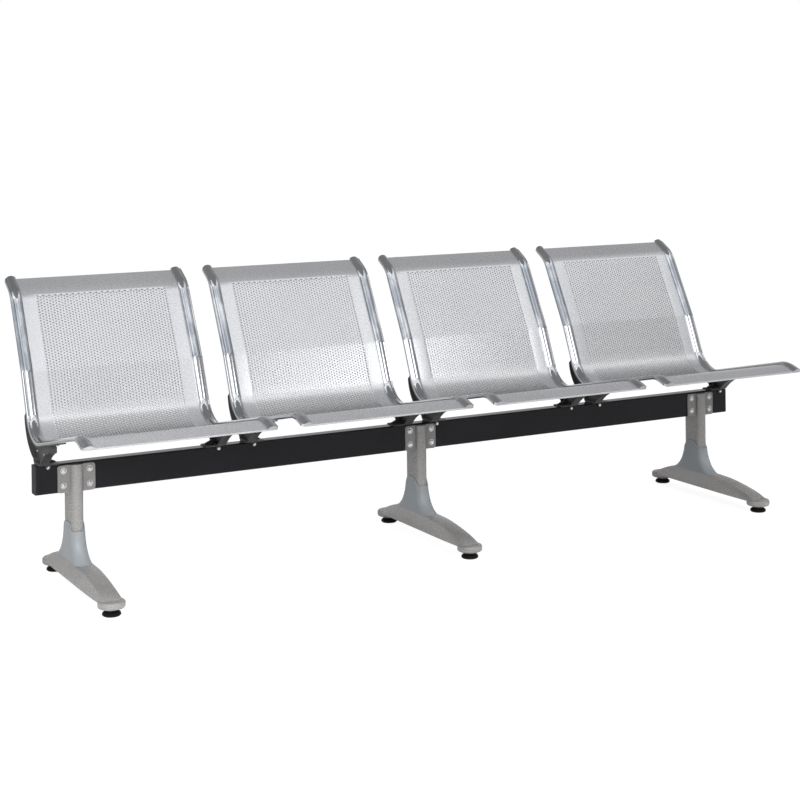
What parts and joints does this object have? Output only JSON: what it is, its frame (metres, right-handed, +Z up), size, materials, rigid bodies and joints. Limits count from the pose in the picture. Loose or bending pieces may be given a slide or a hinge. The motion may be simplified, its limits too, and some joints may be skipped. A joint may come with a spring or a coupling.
{
  "type": "beam seating",
  "caption": "Beam-mounted public seating: bent perforated steel seats with bright side rails on a black beam, carried by grey pedestal legs with levelling glides.",
  "frame": {"origin": "on the floor, below the middle of the outline seen from above", "axes": "+X along the beam to the right as seen from the front, -Y the side people sit on, +Z up"},
  "size_m": [2.39, 0.7234, 0.8351],
  "materials": {
    "sheet_silver": "silver grey satin powder coat",
    "rail_chrome": "polished",
    "beam_black": "black satin powder coat",
    "bracket_black": "black satin powder coat",
    "cap_black": "moulded",
    "leg_grey": "warm grey satin powder coat",
    "sleeve_grey": "moulded, slightly blue grey",
    "glide_black": "moulded",
    "zinc": "bright zinc"
  },
  "bodies": {
    "frame": {"beam": "beam_black", "beam_cap_left": "cap_black", "beam_cap_right": "cap_black", "post_left": "leg_grey", "mount_plate_left": "leg_grey", "foot_left": "leg_grey", "sleeve_left": "sleeve_grey", "plate_bolts_left": "zinc", "plate_nuts_left": "zinc", "foot_bolt_left": "zinc", "post_middle": "leg_grey", "mount_plate_middle": "leg_grey", "foot_middle": "leg_grey", "sleeve_middle": "sleeve_grey", "plate_bolts_middle": "zinc", "plate_nuts_middle": "zinc", "foot_bolt_middle": "zinc", "post_right": "leg_grey", "mount_plate_right": "leg_grey", "foot_right": "leg_grey", "sleeve_right": "sleeve_grey", "plate_bolts_right": "zinc", "plate_nuts_right": "zinc", "foot_bolt_right": "zinc", "glide_inserts": "zinc", "seat_1_shell": "sheet_silver", "seat_1_rail_left": "rail_chrome", "seat_1_bracket_left": "bracket_black", "seat_1_rail_right": "rail_chrome", "seat_1_bracket_right": "bracket_black", "seat_2_shell": "sheet_silver", "seat_2_rail_left": "rail_chrome", "seat_2_bracket_left": "bracket_black", "seat_2_rail_right": "rail_chrome", "seat_2_bracket_right": "bracket_black", "seat_3_shell": "sheet_silver", "seat_3_rail_left": "rail_chrome", "seat_3_bracket_left": "bracket_black", "seat_3_rail_right": "rail_chrome", "seat_3_bracket_right": "bracket_black", "seat_4_shell": "sheet_silver", "seat_4_rail_left": "rail_chrome", "seat_4_bracket_left": "bracket_black", "seat_4_rail_right": "rail_chrome", "seat_4_bracket_right": "bracket_black", "hook_screws": "zinc", "seat_screws": "zinc"},
    "leveller_left_front": {"glide_left_front": "glide_black", "glide_stem_left_front": "zinc"},
    "leveller_left_rear": {"glide_left_rear": "glide_black", "glide_stem_left_rear": "zinc"},
    "leveller_middle_front": {"glide_middle_front": "glide_black", "glide_stem_middle_front": "zinc"},
    "leveller_middle_rear": {"glide_middle_rear": "glide_black", "glide_stem_middle_rear": "zinc"},
    "leveller_right_front": {"glide_right_front": "glide_black", "glide_stem_right_front": "zinc"},
    "leveller_right_rear": {"glide_right_rear": "glide_black", "glide_stem_right_rear": "zinc"}
  },
  "joints": [
    {"name": "leveller_left_front_height", "type": "slide", "parent": "frame", "child": "leveller_left_front", "axis": [0, 0, -1], "range_m": [0, 0.008]},
    {"name": "leveller_left_rear_height", "type": "slide", "parent": "frame", "child": "leveller_left_rear", "axis": [0, 0, -1], "range_m": [0, 0.008]},
    {"name": "leveller_middle_front_height", "type": "slide", "parent": "frame", "child": "leveller_middle_front", "axis": [0, 0, -1], "range_m": [0, 0.008]},
    {"name": "leveller_middle_rear_height", "type": "slide", "parent": "frame", "child": "leveller_middle_rear", "axis": [0, 0, -1], "range_m": [0, 0.008]},
    {"name": "leveller_right_front_height", "type": "slide", "parent": "frame", "child": "leveller_right_front", "axis": [0, 0, -1], "range_m": [0, 0.008]},
    {"name": "leveller_right_rear_height", "type": "slide", "parent": "frame", "child": "leveller_right_rear", "axis": [0, 0, -1], "range_m": [0, 0.008]}
  ]
}
